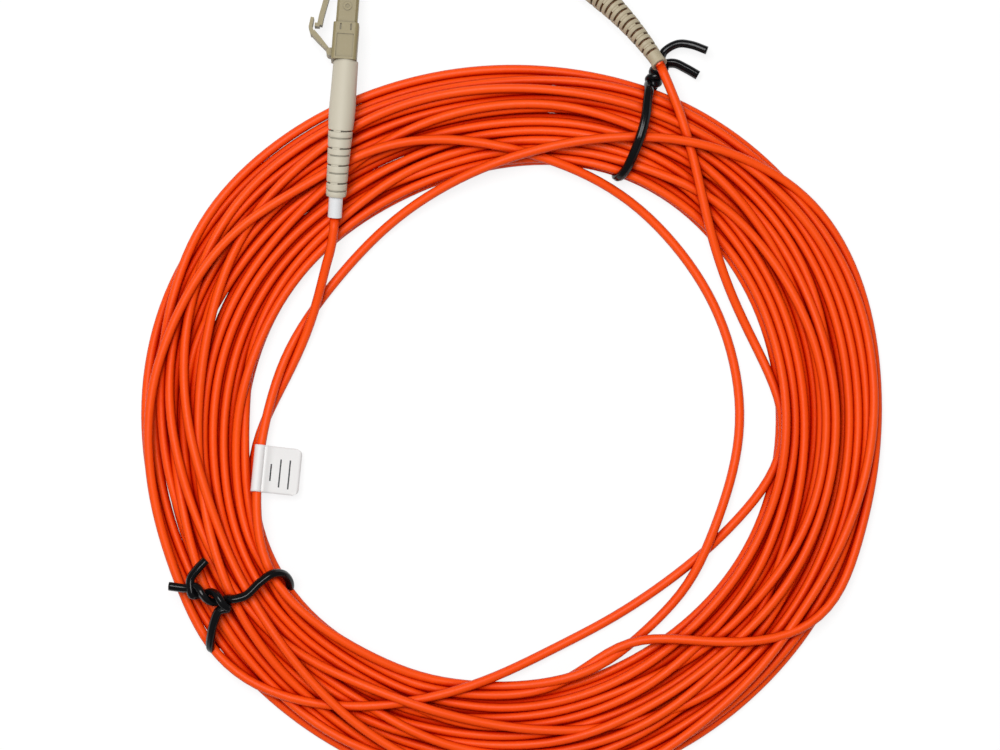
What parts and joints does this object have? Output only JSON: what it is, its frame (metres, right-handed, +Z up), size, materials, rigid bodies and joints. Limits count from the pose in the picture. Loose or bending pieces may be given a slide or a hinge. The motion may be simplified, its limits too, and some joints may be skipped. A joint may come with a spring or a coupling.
{
  "type": "fibre optic patch cord",
  "caption": "Coiled optical fibre patch cord with a small latched plug on one end and a push-pull plug on the other, held by two twist ties, with a flag label.",
  "frame": {"origin": "middle of the footprint, on the surface that the coil lies on", "axes": "+Z up from the surface, +Y from the coil's centre towards the plugs, +X to the right seen from above"},
  "size_m": [0.1574, 0.197, 0.0115],
  "materials": {
    "cord_jacket": "satin",
    "tie_plastic": "gloss",
    "label_stock": "matt",
    "zirconia": "polished",
    "nickel_plate": "satin",
    "spring_steel": "satin",
    "lc_plastic": "satin",
    "backbone_metal": "satin",
    "crimp_metal": "satin",
    "aramid": "matt",
    "clear_tube": "gloss",
    "fibre_buffer": "satin",
    "sleeve_white": "satin",
    "lc_boot_rubber": "matt",
    "sc_boot_rubber": "matt",
    "sc_frame_plastic": "satin",
    "sc_grip_plastic": "satin"
  },
  "bodies": {
    "cord_and_plugs": {"cord_coil": "cord_jacket", "cord_loose_turns": "cord_jacket", "cord_lead_lc": "cord_jacket", "tie_upper": "tie_plastic", "tie_lower": "tie_plastic", "label_flag": "label_stock", "lc_spring": "spring_steel", "lc_housing": "lc_plastic", "lc_rear_body": "lc_plastic", "lc_backbone": "backbone_metal", "lc_crimp_sleeve": "crimp_metal", "lc_yarn": "aramid", "lc_jacket_end": "cord_jacket", "lc_strain_sleeve": "sleeve_white", "lc_boot": "lc_boot_rubber", "sc_spring": "spring_steel", "sc_plug_frame": "sc_frame_plastic", "sc_stop_ring": "backbone_metal", "sc_crimp_sleeve": "crimp_metal", "sc_yarn": "aramid", "sc_jacket_end": "cord_jacket", "sc_boot": "sc_boot_rubber"},
    "lc_ferrule_group": {"lc_ferrule": "zirconia", "lc_ferrule_flange": "nickel_plate", "lc_guide_tube": "clear_tube", "lc_fibre": "fibre_buffer"},
    "lc_latch": {"lc_latch": "lc_plastic"},
    "lc_trigger": {"lc_trigger": "lc_plastic"},
    "sc_ferrule_group": {"sc_ferrule": "zirconia", "sc_ferrule_flange": "nickel_plate", "sc_guide_tube": "clear_tube", "sc_fibre": "fibre_buffer"},
    "sc_grip": {"sc_grip": "sc_grip_plastic"}
  },
  "joints": [
    {"name": "lc_ferrule_slide", "type": "slide", "parent": "cord_and_plugs", "child": "lc_ferrule_group", "axis": [-0.0688, -0.9839, 0.165], "range_m": [0, 0.0012], "stiffness_N_per_m": 1500, "deforming": ["lc_spring"]},
    {"name": "lc_trigger_hinge", "type": "hinge", "parent": "cord_and_plugs", "child": "lc_trigger", "pos_m": [-0.03869, 0.05963, 0.00584], "axis": [0.0115, 0.1646, 0.9863], "range_deg": [-15, 0], "stiffness_Nm_per_rad": 0.15},
    {"name": "lc_latch_hinge", "type": "hinge", "parent": "cord_and_plugs", "child": "lc_latch", "pos_m": [-0.03724, 0.07901, 0.00258], "axis": [0.0115, 0.1646, 0.9863], "range_deg": [0, 6.5]},
    {"name": "sc_ferrule_slide", "type": "slide", "parent": "cord_and_plugs", "child": "sc_ferrule_group", "axis": [0.7335, -0.6792, 0.0244], "range_m": [0, 0.0015], "stiffness_N_per_m": 1500, "deforming": ["sc_spring"]},
    {"name": "sc_grip_slide", "type": "slide", "parent": "cord_and_plugs", "child": "sc_grip", "axis": [0.7335, -0.6792, 0.0244], "range_m": [0, 0.002]}
  ],
  "couplings": [
    {"joint": "lc_latch_hinge", "follows": "lc_trigger_hinge", "ratio": -0.4333}
  ]
}
